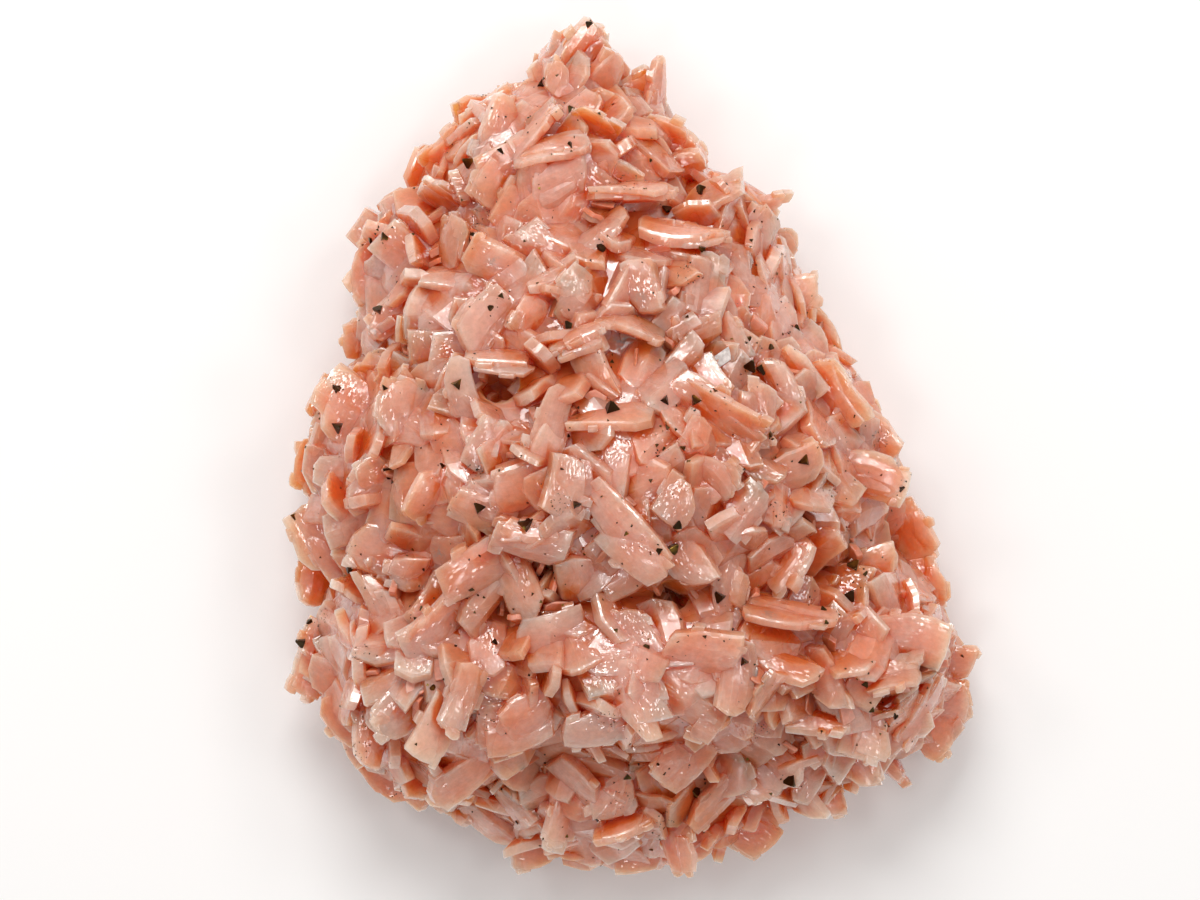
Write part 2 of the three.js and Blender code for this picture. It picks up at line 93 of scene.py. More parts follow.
# The cluster's plan, in millimetres. Lobes give its mass, the large crystals stand where they are listed,
# and the others on sites spread over the lobes.
cluster = {
    # centre and radii of each lobe
    "lobes": {
        "heart": ((-3.5, -3, 9.5), (32.5, 23, 25.5)),
        "belly": ((1, -23, 9.5), (28, 14, 22.5)),
        "chest": ((-5.5, 12, 9.5), (25.5, 21, 21)),
        "crown": ((-8, 28, 8.5), (16, 14, 17)),
        "summit": ((-6.5, 40, 8), (4.6, 7.5, 9)),
        "leftShoulder": ((-23.5, 20.5, 8.5), (7.2, 9, 12)),
        "rightShoulder": ((8, 24, 8.5), (7.5, 8, 13)),
        "leftFlank": ((-22, -4, 9.5), (14.5, 16, 18)),
        "rightKnob": ((24, -2, 8.5), (5.5, 8, 12)),
        "leftFoot": ((-19.5, -24, 9.5), (16.5, 15.5, 20)),
        "rightFoot": ((23, -24, 8.5), (13, 13.5, 17)),
        "lowerStep": ((-1, -34, 8), (19, 13.5, 12.5)),
        "lowerCorner": ((16, -33, 7.5), (10, 8.5, 12)),
    },
    # x, y, lift over the lobe, turn of the long edge, roll about it, length, width, thickness
    "largeCrystals": [
        # summit and its blade
        (-6.2, 45.4, 0, 50, 20, 7.4, 5.6, 4), (-3.6, 42.8, 1, 55, 40, 7.5, 4.8, 3.5),
        (-9.4, 43.8, 0, 48, -15, 6, 4.4, 3), (-8.7, 42.2, 2.5, 75, 5, 4.6, 3.4, 3),
        (2.4, 40.6, 3, 83, 64, 11, 4.6, 3.2), (-0.6, 41, 2, 25, 40, 6, 5, 3),
        (4.2, 35, 0, -30, 30, 7, 5.6, 3.2),
        # crown
        (-16.8, 38.2, 0, 25, 20, 7, 5.2, 3.2), (-21.6, 34, 0, 40, 30, 7, 5, 3),
        (-24.8, 32.2, 0, 70, 30, 6, 4, 3), (-15.6, 36.4, 2, 72, 12, 9, 4.2, 3.2),
        (-11.2, 35.8, 2, 46, -70, 9.5, 5, 3.2), (-4.4, 36.4, 1, -28, 50, 6, 4, 3),
        (-9.4, 33.4, 2.5, 14, -55, 10.5, 5, 3), (-8.5, 30.2, 1.2, 20, 8, 7.5, 5.5, 3),
        (-16.4, 30, 1.5, 62, 10, 6, 4.2, 3), (-14.2, 27, 1, 60, 15, 6, 4.2, 3),
        (-0.4, 28.8, 2.5, 3, -75, 11.5, 5, 3.4), (5.4, 32.2, 1, 18, 35, 6.5, 4.5, 3),
        (-21.6, 28.4, 1, -30, 60, 7.5, 4, 3),
        # shoulders
        (8.6, 28.4, 2, 26, -45, 9, 5, 3), (14.2, 28, 1.5, 7, 55, 7, 4, 2.6),
        (14, 24.8, 1, 62, 18, 6.5, 4.8, 3), (5, 24, 2.5, -9, -72, 10.5, 5, 3.2),
        (16.4, 23, 0, 65, 20, 6, 4.8, 3), (18.6, 17.8, 1, 15, 12, 6, 4.8, 3),
        (-30.2, 20.6, 0.5, 60, 15, 8, 6, 4), (-28, 14.8, 1, 40, 10, 6.5, 4.4, 3),
        # chest
        (0.8, 18, 2, -78, 10, 7.4, 4.6, 3), (7.2, 18.2, 1.5, 85, 28, 7.5, 4, 3),
        (10.4, 12.6, 1.5, -70, 8, 6.8, 4.8, 3), (6.8, 12.6, 1, 22, 20, 7, 4.4, 3),
        (21.6, 13.6, 0, -65, 20, 7.5, 4.2, 3), (-20.6, 23, 1.5, 80, -45, 6.4, 4.2, 3),
        (-16, 21, 2.2, -24, 20, 7.2, 5.2, 3), (-11, 22.6, 0.8, -45, 10, 6.4, 5, 3),
        (-3.6, 24.2, 1.5, 36, -50, 8, 4.8, 3), (-9, 19.2, 1.8, 30, -62, 7.5, 4, 2.8),
        (-16.8, 14.2, 1.6, 50, 14, 8.5, 6, 3.6), (-11.8, 15, 1, 60, 25, 5.6, 4.4, 3),
        (-15.2, 10, 2.2, 0, -68, 8, 5, 2.8), (-6.4, 16.4, 1.4, 52, 16, 7, 5, 3),
        (-6.6, 12.2, 2, 24, -60, 7.5, 4, 2.8), (-0.6, 13.6, 2, -20, -65, 8.5, 5, 2.8),
        (-24, 15, 1, 80, 15, 7.5, 4.8, 3), (-31.2, 12.6, 0, 20, 15, 6.5, 4.6, 3),
        # heart, upper half
        (-4.2, 8.4, 1.6, -60, 30, 9.5, 4.6, 3), (5.6, 10, 1, 50, 20, 6, 4, 3),
        (-19, 6, 2.2, -70, 16, 10, 4.2, 3), (-9.4, 2.6, 2, 74, 16, 10.5, 4.4, 3.2),
        (-2.8, 3.2, 1.6, 4, -60, 11, 5, 2.8), (7, 5.6, 1.4, -38, 12, 7.6, 5.2, 3),
        (-29.2, 9.6, 2, -10, 30, 4.4, 3.6, 2.6), (-35.4, 6.2, 0, 62, 35, 8, 4.4, 3),
        (-32.4, 4, 2, 70, 8, 9, 7.2, 3.2), (-26.2, 4.4, 2, 75, 10, 8, 6.4, 3),
        (-16.6, 0.2, 1.6, 62, 15, 7, 5, 3), (10, 4, 2, -30, 40, 11.5, 5, 3),
        (14, 3.6, 2, 86, 14, 8, 4.2, 3), (16.6, 6.6, 1, -70, 14, 8.4, 4, 3),
        (18.6, 8.4, 0.6, -50, 30, 8, 5, 3), (22.4, 6, 1.4, -56, 35, 10, 4.6, 3),
        (27.8, 1.2, 1, -50, 18, 7, 5.4, 3), (6.8, 0.4, 1, 70, 20, 6, 5, 3),
        # heart, lower half
        (26.4, -3.8, 2, -8, 18, 10.5, 5.2, 3.4), (17.8, -2, 1.4, 20, 14, 7.6, 5.2, 3),
        (19.6, -5.4, 1.8, -20, -50, 6.5, 5, 3), (15.6, -6.2, 1, 88, 10, 6, 3.4, 3),
        (-37.6, -2, 0, 84, 20, 7, 4.6, 3), (-35, -10.2, 1.8, -60, 12, 10.2, 7, 3.4),
        (-37.2, -15.6, 0, 82, 20, 6.5, 5, 3.4), (-28, -12, 2, -22, 12, 10, 7, 3.4),
        (-25.4, -14, 3, -8, 8, 5.4, 4.8, 3.4), (-29.6, -4.6, 0.8, 30, 15, 7.6, 5.4, 3),
        (-23.6, -5.2, 2.4, 58, 35, 7, 4.6, 3.2), (-19.4, -4.4, 1, 80, 6, 5.4, 4.6, 3),
        (-16.4, -6.6, 1.4, -24, 16, 7.6, 5, 3), (-12.6, -3.8, 1, 22, 16, 7.6, 6.2, 3.4),
        (-8, -4.2, 2.4, 76, 10, 7.8, 5, 3.2), (-11.4, -10.2, 2, -16, 24, 9.6, 5.4, 3.4),
        (-1.2, -8.6, 2.6, -50, 24, 14, 5.6, 3.6), (5.6, -12.2, 1.6, -60, 12, 7.8, 5.8, 3),
        (4.4, -6, 3, 62, 6, 5.8, 5.2, 3), (8.6, -3.4, 1.4, -42, 25, 6.6, 4.6, 3),
        (12, -7, 1.6, 52, 18, 7.6, 5.2, 3), (28.2, -8.6, 0.6, 12, 20, 7.4, 5.6, 3),
        (32, -9.4, 0, -65, 18, 8.4, 5.2, 3), (10.4, -15, 2, 82, 24, 8.6, 4.2, 3),
        (17.6, -12.8, 1.8, 58, -40, 7.6, 5, 3),
        # belly and left foot
        (-17.8, -13.4, 3, 32, 8, 10, 5.8, 4), (-17.2, -17.4, 3.4, 50, 28, 7.6, 4.2, 3.4),
        (-22.4, -19.6, 2.2, 45, 26, 11, 4.8, 3.4), (-12.8, -15.4, 2, -70, 14, 9, 5.2, 3.2),
        (-28.4, -18, 1, -65, 20, 9.4, 4.4, 3), (-35.8, -23.4, 0.4, 75, 10, 8.4, 6.4, 4),
        (-37.4, -26, 0, 70, 15, 7, 5, 3.4), (-32.8, -31, 0, -50, 14, 8, 5.4, 3.2),
        (-29.8, -32, 1, 76, 12, 9.4, 4.8, 3), (-26.4, -29.2, 1.6, 50, 10, 8, 6.2, 3.2),
        (-22.6, -31, 3.2, 65, 24, 9, 4.2, 3.2), (-19.4, -27.8, 3, 68, 22, 9.2, 4, 3.2),
        (-28, -38, 0.4, -50, 10, 8.6, 6.8, 4), (-18.8, -36.6, 2.4, 37, 38, 12, 5.2, 4),
        (-13, -31.2, 2.8, 22, 14, 9.4, 6.2, 4), (-9.4, -20.4, 1.6, 14, 18, 9, 5.4, 3.2),
        (0.4, -20.6, 0.8, -60, 14, 7, 4.8, 3), (7.4, -22.4, 2, -10, 28, 9.6, 6.4, 3.4),
        (-0.2, -28, 1.8, -70, 10, 11, 4.8, 3), (7.6, -29.8, 2, -30, 28, 6, 4.8, 3),
        (-4.4, -31.2, 2.6, 8, 26, 8.6, 5.4, 3.6), (5.4, -35, 3.6, 52, 14, 8.6, 6.6, 3.2),
        # right foot
        (17.6, -18.4, 2.6, -12, -66, 12, 5.2, 3.6), (26.8, -13.6, 1.8, 16, 16, 7, 5.4, 3),
        (33.6, -16, 0, -78, 14, 8, 5.2, 3.2), (31, -21.6, 2, -10, 10, 10, 6.8, 3.4),
        (36.6, -25, 0, -4, 15, 7, 5.4, 3.2), (29, -26, 2, 16, -48, 7.4, 4.4, 3),
        (32.6, -29.8, 1.6, 60, 60, 9.6, 4.4, 3), (36.4, -30, 0, 20, 14, 6.6, 6, 3.4),
        (35.6, -33.4, 0, 52, 15, 6.6, 4.8, 3.2), (25.6, -32, 1, 84, 16, 7.6, 5.6, 3),
        (16.6, -24.2, 2, -20, -55, 10, 5, 3.2), (21.2, -25.6, 1.8, -70, 20, 8.4, 5, 3),
        (10.8, -25.8, 2.6, 85, 18, 9, 4, 3.2), (14.4, -27.6, 2.2, 55, 62, 7, 4.2, 2.2),
        (20.8, -31, 2, -12, -52, 8.6, 4.4, 3), (18.8, -35.4, 1.4, 20, -60, 6, 4.4, 3),
        # crust under the ledge
        (-3.8, -36.4, 0.8, -15, 20, 8.6, 4.4, 3), (-6.6, -37.6, 1.8, -45, 50, 7.6, 4.4, 3),
        (-2.4, -39.8, 1.4, 22, 12, 5.6, 5.2, 3), (-13.8, -41.2, 1, -50, 60, 8.8, 4.4, 3),
        (-8.6, -42.2, 1.6, 74, 42, 8.2, 4, 3), (-17, -43.4, 0.4, -40, 55, 8.6, 4.4, 3),
        (-1.2, -43.2, 2, 22, -60, 8.2, 4.4, 3.2), (4.4, -44.6, 1.4, -76, 45, 9.4, 4.4, 3),
        (0.6, -47, 0, 4, 15, 6.6, 5.4, 3), (8.8, -40.8, 1.8, 46, 40, 8, 4.8, 3),
        (10.2, -36.8, 1.4, -60, 14, 6.6, 5.2, 3), (14.2, -37.6, 1.2, -50, 12, 7, 5.4, 3),
        (21.8, -39.8, 0, -70, 14, 7, 5.2, 3), (26, -35.8, 0.4, -75, 16, 7, 4.8, 3),
        (13, -44.6, 0, -30, 18, 8.4, 5.4, 3), (-11, -46.4, 0, 15, 14, 7.6, 5, 3),
    ],
    "largeShare": 0.88,  # share of the listed sizes that the large crystals grow to
    "slimness": (1, 0.95, 0.8),  # share kept of each length, width and thickness, since books add to them
    "twist": 0.45,
    "seed": 11,
    "bookSeed": 41,
}
between = {"spacing": 6.8, "lowest": 6, "size": (7, 4.9, 2.8), "twist": 0.45, "sink": 0.6, "rise": 0,
           "wander": 1.1, "outward": 1, "seed": 7}  # crystals that stand between the listed ones


def lobesOf(plan):
    return [(Vector(centre), Vector(radii)) for centre, radii in plan["lobes"].values()]


def reach(lobe, point):
    centre, radii = lobe
    return math.hypot(*((point[i] - centre[i]) / radii[i] for i in range(3)))  # under 1 is inside


# how sites are sought on the lobes, and how the room round them and the size of their crystals vary
search = {"reach": 1.35, "tries": 6, "leastRoom": 0.8, "moreRoom": 0.4, "leastSize": 0.85, "moreSize": 0.3}


def skinHeight(lobes, x, y):  # height of the lobes' top, or just beside a lobe, of its middle
    height = 0
    for centre, radii in lobes:
        out = math.hypot((x - centre.x) / radii.x, (y - centre.y) / radii.y)
        if out <= search["reach"]:
            height = max(height, centre.z + radii.z * math.sqrt(max(1 - out * out, 0)))
    return height


def growthSites(lobes, habit, taken=()):  # places spread over the outside of the lobes, with their normals
    draw = randomStream(habit["seed"])
    spacing = habit["spacing"]
    sites = []
    for lobe in lobes:
        centre, radii = lobe
        skin = 4 * math.pi * (radii.x * radii.y + radii.y * radii.z + radii.z * radii.x) / 3
        tries = round(search["tries"] * skin / (spacing * spacing))
        for i in range(tries):
            unit = direction(1 - 2 * (i + 0.5) / tries, i * goldenAngle + draw())
            point = unit * radii + centre
            room = spacing * (search["leastRoom"] + search["moreRoom"] * draw())
            if point.z < habit["lowest"]:
                continue
            if any(other is not lobe and reach(other, point) < 1 for other in lobes):
                continue
            if any((place - point).length < room for place in taken):
                continue
            if any((place - point).length < room for place, normal in sites):
                continue
            sites.append((point, Vector(unit[i] / radii[i] for i in range(3)).normalized()))
    return sites


def grain(point):  # neighbouring crystals lean alike, by a slow wave through the cluster in radians per mm
    return Vector((
        math.sin(0.31 * point.x + 0.17 * point.y),
        math.sin(0.27 * point.y - 0.23 * point.z + 2),
        math.sin(0.21 * point.x + 0.29 * point.z + 4),
    ))


def largeCrystals(plan, lobes, draw):
    crystals = []
    for x, y, lift, turn, roll, *sides in plan["largeCrystals"]:
        long = Vector((math.cos(math.radians(turn)), math.sin(math.radians(turn)), 0))
        side = Matrix.Rotation(math.radians(roll), 3, long) @ Vector((-long.y, long.x, 0))
        crystals.append({
            "middle": Vector((x, y, skinHeight(lobes, x, y) + lift)),
            "axes": (long, side, long.cross(side)),
            "size": [length * plan["largeShare"] for length in sides],
            "twist": plan["twist"] * (2 * draw() - 1),
        })
    return crystals


def siteCrystals(sites, habit, draw):
    crystals = []
    for point, normal in sites:
        flat = grain(point) + habit["wander"] * randomDirection(draw) + habit["outward"] * normal
        flat.normalize()
        side = flat.cross(randomDirection(draw)).normalized()
        share = search["leastSize"] + search["moreSize"] * draw()
        crystals.append({
            "size": [length * share for length in habit["size"]],
            "twist": habit["twist"] * (2 * draw() - 1),
            "middle": (point - normal * habit["sink"] * draw()
                       + Vector((0, 0, habit["rise"] * max(normal.z, 0)))),
            "axes": (side.cross(flat), side, flat),
        })
    return crystals


# a blade and a simpler, smaller grain, before they are curved: the cuts let their faces bend
bladeShape = {"size": (7, 4.9, 2.6), "rimBevel": 0.26, "cutsAlong": (-1.9, 0, 1.9),
              "cutsAcross": (-0.8, 0.8)}
grainShape = {"size": (5, 3.8, 2.2), "rimBevel": 0.2, "cutsAlong": (0,), "cutsAcross": (0,)}
brokenCorners = (  # which corner is gone, and the share of the length and of the width that it takes
    (), ((1, 1, 0.2, 0.36),), ((-1, 1, 0.34, 0.2), (1, -1, 0.14, 0.26)), ((1, -1, 0.3, 0.3),),
    ((-1, -1, 0.2, 0.24),),
)


def block(size):
    bm = bmesh.new()
    bmesh.ops.create_cube(bm, size=1)
    bmesh.ops.scale(bm, vec=size, verts=bm.verts)
    return bm


def ease(bm, parts, width, affect="EDGES"):  # bevels these edges or corners
    bmesh.ops.bevel(bm, geom=parts, offset=width, segments=1, affect=affect, profile=0.5, material=-1)


def cut(bm, place, normal, clearOuter=False):
    bmesh.ops.bisect_plane(bm, geom=bm.verts[:] + bm.edges[:] + bm.faces[:], dist=1e-4, plane_co=place,
                           plane_no=normal, clear_outer=clearOuter)


def takenApart(bm):  # the points and faces of a shape
    bm.verts.index_update()
    vertices = np.array([v.co for v in bm.verts])
    faces = [[v.index for v in f.verts] for f in bm.faces]
    bm.free()
    return vertices, faces


def leafTemplate(shape, corners):
    bm = block(shape["size"])
    length, width = shape["size"][:2]
    for along, across, lengthShare, widthShare in corners:
        cut(bm, (along * length * (0.5 - lengthShare), across * width / 2, 0),
            (along * width * widthShare, across * length * lengthShare, 0), clearOuter=True)
        bmesh.ops.holes_fill(bm, edges=bm.edges)
    ease(bm, [edge for edge in bm.edges if edge.verts[0].co.z * edge.verts[1].co.z > 0], shape["rimBevel"])
    for place in shape["cutsAlong"]:
        cut(bm, (place, 0, 0), (1, 0, 0))
    for place in shape["cutsAcross"]:
        cut(bm, (0, place, 0), (0, 1, 0))
    vertices, faces = takenApart(bm)
    return vertices / (np.array(shape["size"]) / 2), faces


# low and high ends of what a crystal's shape is drawn from
curving = {
    "barrelAlong": (0, 0.26), "barrelAcross": (0, 0.24), "bend": (-0.08, 0.08), "taper": (-0.16, 0.16),
    "skew": (0.04, 0.36), "slant": (-0.35, 0.35), "slope": (-0.35, 0.35), "lens": (0.35, 0.7),
    "bow": (-0.09, 0.09), "twist": (-0.7, 0.7),
}
bendMiddle = 0.4  # a bend moves a crystal's ends one way, and its middle back by this share
bowAcross = 0.7  # a bow rises along a crystal and falls across it by this share, which makes the saddle


def curvedLeaf(leaf, draw):
    return {**leaf, **{name: spread(draw, *span) for name, span in curving.items() if name not in leaf}}


def placedLeaf(leaf, unit):  # a template's points, from -1 to 1 each way, bent into a crystal in its place
    u, v, w = unit.T
    length, width, thickness = leaf["size"]
    y = width / 2 * v * (1 - leaf["barrelAcross"] * u * u) * (1 + leaf["taper"] * u)
    y = y + leaf["bend"] * length * (u * u - bendMiddle)
    x = length / 2 * u * (1 - leaf["barrelAlong"] * v * v) + leaf["skew"] * y
    z = thickness / 2 * w * (1 - leaf["lens"] * (1 - (1 - u * u) * (1 - v * v)))
    x, y = x + leaf["slant"] * z, y + leaf["slope"] * z
    z = z + leaf["twist"] * u * v + leaf["bow"] * length * (u * u - bowAcross * v * v)
    return np.column_stack((x, y, z)) @ np.array(leaf["axes"]) + np.array(leaf["middle"])


def turned(axes, about, degrees):
    spin = Matrix.Rotation(math.radians(degrees), 3, axes[about])
    return tuple(spin @ axis for axis in axes)


book = {"leaves": (0, 3), "fan": 12, "tilt": 9, "overlap": 0.8, "slideAcross": 0.4, "lift": (0, 0.26),
        "thickness": (0.55, 0.95), "length": (0.45, 1), "width": (0.55, 1.05)}


def bookOf(crystal, draw):  # one large crystal grows as a book of a few nearly parallel leaves
    core = curvedLeaf(crystal, draw)
    leaves = [core]
    length, width, thickness = crystal["size"]
    for number in range(int(spread(draw, *book["leaves"]))):
        side = 1 if number % 2 == 0 else -1
        axes = turned(crystal["axes"], 2, spread(draw, -book["fan"], book["fan"]))
        axes = turned(axes, 0, spread(draw, -book["tilt"], book["tilt"]))
        size = [length * spread(draw, *book["length"]), width * spread(draw, *book["width"]),
                thickness * spread(draw, *book["thickness"])]
        offset = (side * thickness * spread(draw, *book["lift"]) * axes[2]
                  + (length - book["overlap"] * size[0]) / 2 * spread(draw, -1, 1) * axes[0]
                  + width * book["slideAcross"] * spread(draw, -1, 1) * axes[1])
        leaves.append(curvedLeaf({"middle": crystal["middle"] + offset, "axes": axes, "size": size,
                                  "twist": core["twist"], "bow": core["bow"], "bend": core["bend"]}, draw))
    return leaves


rimSteps = {"count": 3, "length": (1.1, 2.4), "width": (0.9, 2), "thickness": (0.35, 0.65),
            "reach": (0.72, 0.95), "along": (-0.9, 0.9), "fan": 5, "lens": 0.2}


def steppedRim(leaf, draw):  # small rhombs stand out of a crystal's rim, so that it looks sawn
    steps = []
    for number in range(rimSteps["count"]):
        rim = spread(draw, *rimSteps["reach"]) * (1 if draw() < 0.5 else -1)
        along = spread(draw, *rimSteps["along"])
        place = (rim, along, 0) if number % 2 else (along, rim, 0)
        axes = turned(leaf["axes"], 2, spread(draw, -rimSteps["fan"], rimSteps["fan"]))
        size = [spread(draw, *rimSteps["length"]), spread(draw, *rimSteps["width"]),
                leaf["size"][2] * spread(draw, *rimSteps["thickness"])]
        middle = placedLeaf(leaf, np.array([place]))[0]
        flat = {"twist": 0, "bow": 0, "bend": 0, "taper": 0, "lens": rimSteps["lens"], "skew": leaf["skew"]}
        steps.append(curvedLeaf({"middle": middle, "axes": axes, "size": size, **flat}, draw))
    return steps


def linked(name, mesh):
    piece = bpy.data.objects.new(name, mesh)
    bpy.context.scene.collection.objects.link(piece)
    return piece


def pieceFrom(name, bm):  # a new object of a finished shape
    mesh = bpy.data.meshes.new(name)
    bm.to_mesh(mesh)
    bm.free()
    return linked(name, mesh)


def copiesJoined(name, vertices, faces, layers=None):  # one mesh of many copies, with values at its points
    mesh = bpy.data.meshes.new(name)
    mesh.from_pydata(vertices, [], faces)
    for layerName, values in (layers or {}).items():
        layer = mesh.uv_layers.new(name=layerName)
        corners = np.empty(len(mesh.loops), dtype=np.int32)
        mesh.loops.foreach_get("vertex_index", corners)
        layer.data.foreach_set("uv", values[corners].astype(np.float32).ravel())
    return linked(name, mesh)


def applyModifiers(piece):
    depsgraph = bpy.context.evaluated_depsgraph_get()
    done = bpy.data.meshes.new_from_object(piece.evaluated_get(depsgraph))
    piece.modifiers.clear()
    piece.data = done


def join(piece, other, operation="UNION"):  # one closed solid of both, or the piece less the other
    boolean = piece.modifiers.new("join", "BOOLEAN")
    boolean.operation = operation
    boolean.solver = "MANIFOLD"
    boolean.object = other
    applyModifiers(piece)
    bpy.data.objects.remove(other)


groupGap = 0.5  # room round each crystal of a group


def leafGroups(leaves):  # leaves of one group don't touch, so that one boolean can join them all
    middles = np.array([leaf["middle"] for leaf in leaves])
    radii = np.array([math.hypot(*leaf["size"]) / 2 + groupGap for leaf in leaves])
    groups = []
    for i in range(len(leaves)):
        for group in groups:
            gaps = np.linalg.norm(middles[group] - middles[i], axis=1) - radii[group] - radii[i]
            if gaps.min() > 0:
                group.append(i)
                break
        else:
            groups.append([i])
    return groups


def leafTemplates(shape):
    return [leafTemplate(shape, corners) for corners in brokenCorners]


fineLength = 4.6  # crystals shorter than this take the grain's shape
leafCell = 0.4  # half of the part of a map's square that one crystal takes
shadeStep = 0.618  # each crystal's own shade is this much further round than the last one's


# A group's crystals in one mesh. The growth map runs along and across each crystal, in a square of its own,
# and the shade map holds one number for each crystal.
def groupObject(name, group, leaves, templates):
    vertices, faces, growth, shade = [], [], [], []
    for i in group:
        leaf = leaves[i]
        kinds = templates[leaf.get("fine", leaf["size"][0] < fineLength)]
        unit, leafFaces = kinds[i % len(kinds)]
        first = sum(len(part) for part in vertices)
        vertices.append(placedLeaf(leaf, unit))
        faces += [[first + corner for corner in face] for face in leafFaces]
        growth.append(np.column_stack((i + 1.5 + leafCell * unit[:, 0], 0.5 + leafCell * unit[:, 1])))
        shade.append(np.full((len(unit), 2), (i * shadeStep) % 1))
    layers = {"growth": np.concatenate(growth), "shade": np.concatenate(shade)}
    return copiesJoined(name, np.concatenate(vertices), faces, layers)


def solidPiece(name, bm):  # dolomite that belongs to no single crystal lies in square 0 of the growth map
    vertices, faces = takenApart(bm)
    middle = np.full((len(vertices), 2), 0.5)
    return copiesJoined(name, vertices, faces, {"growth": middle, "shade": middle})


bodyPlan = {"swell": (0.2, 0.2, 0.9), "rough": 0.6, "seed": 19}
caves = (  # x, y, radius of the hollows between crystals
    (4, -16.5, 2.2), (-16.5, -28.5, 2), (28.5, -28, 2), (-15, 7, 2.4), (-16, -9, 2), (-10, -13.5, 2),
    (2.5, 12, 2), (12, -18.5, 1.3), (-20, -41, 1.6), (-16.4, -38.8, 1.8), (-13, -36.6, 2.2),
    (-8.5, -34.9, 1.8), (-4, -34.8, 1.8), (0.5, -34.6, 1.8),
)
caveDepth = 3
caveCrystal = {"count": 12, "size": (3, 2.3, 1.1), "twist": 0.15, "sink": 0.4, "rise": 0, "wander": 1.2,
               "outward": 0.8}


def caveCrystals(lobes, draw):  # small crystals line the hollows
    leaves = []
    for x, y, radius in caves:
        for number in range(caveCrystal["count"]):
            out = direction(-(number + 0.5) / caveCrystal["count"], number * goldenAngle)
            middle = Vector((x, y, skinHeight(lobes, x, y))) + out * Vector((radius, radius, caveDepth))
            leaves += siteCrystals([(middle, -out)], caveCrystal, draw)
    return [curvedLeaf(leaf, draw) for leaf in leaves]


def caveObject(lobes):
    bm = bmesh.new()
    for x, y, radius in caves:
        made = bmesh.ops.create_icosphere(bm, subdivisions=2, radius=1)["verts"]
        bmesh.ops.scale(bm, vec=(radius, radius, caveDepth), verts=made)
        bmesh.ops.translate(bm, vec=(x, y, skinHeight(lobes, x, y)), verts=made)
    return solidPiece("caves", bm)


def bodyObject(lobes):  # rough lobes joined in one, with the hollows cut out of them
    draw = randomStream(bodyPlan["seed"])
    body = None
    for centre, radii in lobes:
        bm = bmesh.new()
        bmesh.ops.create_icosphere(bm, subdivisions=3, radius=1)
        bmesh.ops.scale(bm, vec=radii + Vector(bodyPlan["swell"]), verts=bm.verts)
        bmesh.ops.translate(bm, vec=centre, verts=bm.verts)
        for vertex in bm.verts:
            vertex.co += bodyPlan["rough"] * (draw() - 0.5) * randomDirection(draw)
        piece = solidPiece("dolomite_crystals", bm)
        if body is None:
            body = piece
        else:
            join(body, piece)
    join(body, caveObject(lobes), "DIFFERENCE")
    return body


def keepLargestPart(mesh):  # deletes the splinters that touch nothing, and says how many there were
    bm = bmesh.new()
    bm.from_mesh(mesh)
    bm.verts.index_update()
    seen = [0] * len(bm.verts)
    bm.verts.ensure_lookup_table()
    parts = []
    for start in bm.verts:
        if seen[start.index]:
            continue
        seen[start.index] = 1
        part, waiting = [start], [start]
        while waiting:
            vertex = waiting.pop()
            for link in vertex.link_edges:
                other = link.other_vert(vertex)
                if not seen[other.index]:
                    seen[other.index] = 1
                    part.append(other)
                    waiting.append(other)
        parts.append(part)
    parts.sort(key=len)
    for part in parts[:-1]:
        bmesh.ops.delete(bm, geom=part, context="VERTS")
    bm.to_mesh(mesh)
    bm.free()
    return len(parts) - 1


# angles past which an edge is sharp: between two crystals, on one crystal, and on the rough body
sharpness = {"meeting": math.radians(14), "own": math.radians(20), "body": math.radians(5)}


def sharpenEdges(mesh):
    bm = bmesh.new()
    bm.from_mesh(mesh)
    growth = bm.loops.layers.uv["growth"]
    owner = [math.floor(face.loops[0][growth].uv.x) for face in bm.faces]
    for face in bm.faces:
        face.smooth = True
    for edge in bm.edges:
        if len(edge.link_faces) == 2:
            first, second = (owner[face.index] for face in edge.link_faces)
            kind = "meeting" if first != second else "own" if first else "body"
            edge.smooth = edge.calc_face_angle() < sharpness[kind]
    bm.to_mesh(mesh)
    bm.free()


# smaller crystals that fill the gaps, clear of the larger ones' middles and of the deep places
filler = {"spacing": 3.2, "lowest": 0.5, "size": (6.5, 4.4, 2.1), "twist": 0.25, "sink": 0.5, "rise": 0.9,
          "wander": 0.8, "outward": 1.8, "clear": 1.9, "seed": 5,
          "bareSpots": ((26.5, 7, 4), (6, 38.5, 3.2), (-33.5, 15, 3), (17.5, -44, 3.4), (25, -41.5, 2.6),
                        (12, 32, 2.6), (-10.5, 48.5, 3), (-35, -35.5, 2), (-23.5, -45, 2.4), (19.5, 24, 2),
                        (35.5, -12, 2), (38, -21, 2))}
# flatter ones that cover the steep sides
sideFiller = {"spacing": 3.2, "lowest": 0.5, "size": (5.6, 4.4, 1.8), "twist": 0.25, "sink": 0.5, "rise": 0,
              "wander": 0.6, "outward": 3.2, "steep": 0.45, "out": 0.2, "seed": 29}
slabSize = (200, 200, 60)  # what is cut off under the resting face


def finerCrystals(lobes, large, draw):
    places = [crystal["middle"] for crystal in large]
    bare = filler["bareSpots"] + caves
    sites = [(point, normal) for point, normal in growthSites(lobes, filler)
             if min((point - place).length for place in places) > filler["clear"]
             and not any(math.hypot(point.x - x, point.y - y) < radius for x, y, radius in bare)]
    crystals = siteCrystals(sites, filler, draw)
    sites = [(point + normal * sideFiller["out"], normal)
             for point, normal in growthSites(lobes, sideFiller) if normal.z < sideFiller["steep"]]
    crystals += siteCrystals(sites, sideFiller, draw)
    print("smaller crystals", len(crystals))
    return [curvedLeaf({**crystal, "fine": True}, draw) for crystal in crystals]


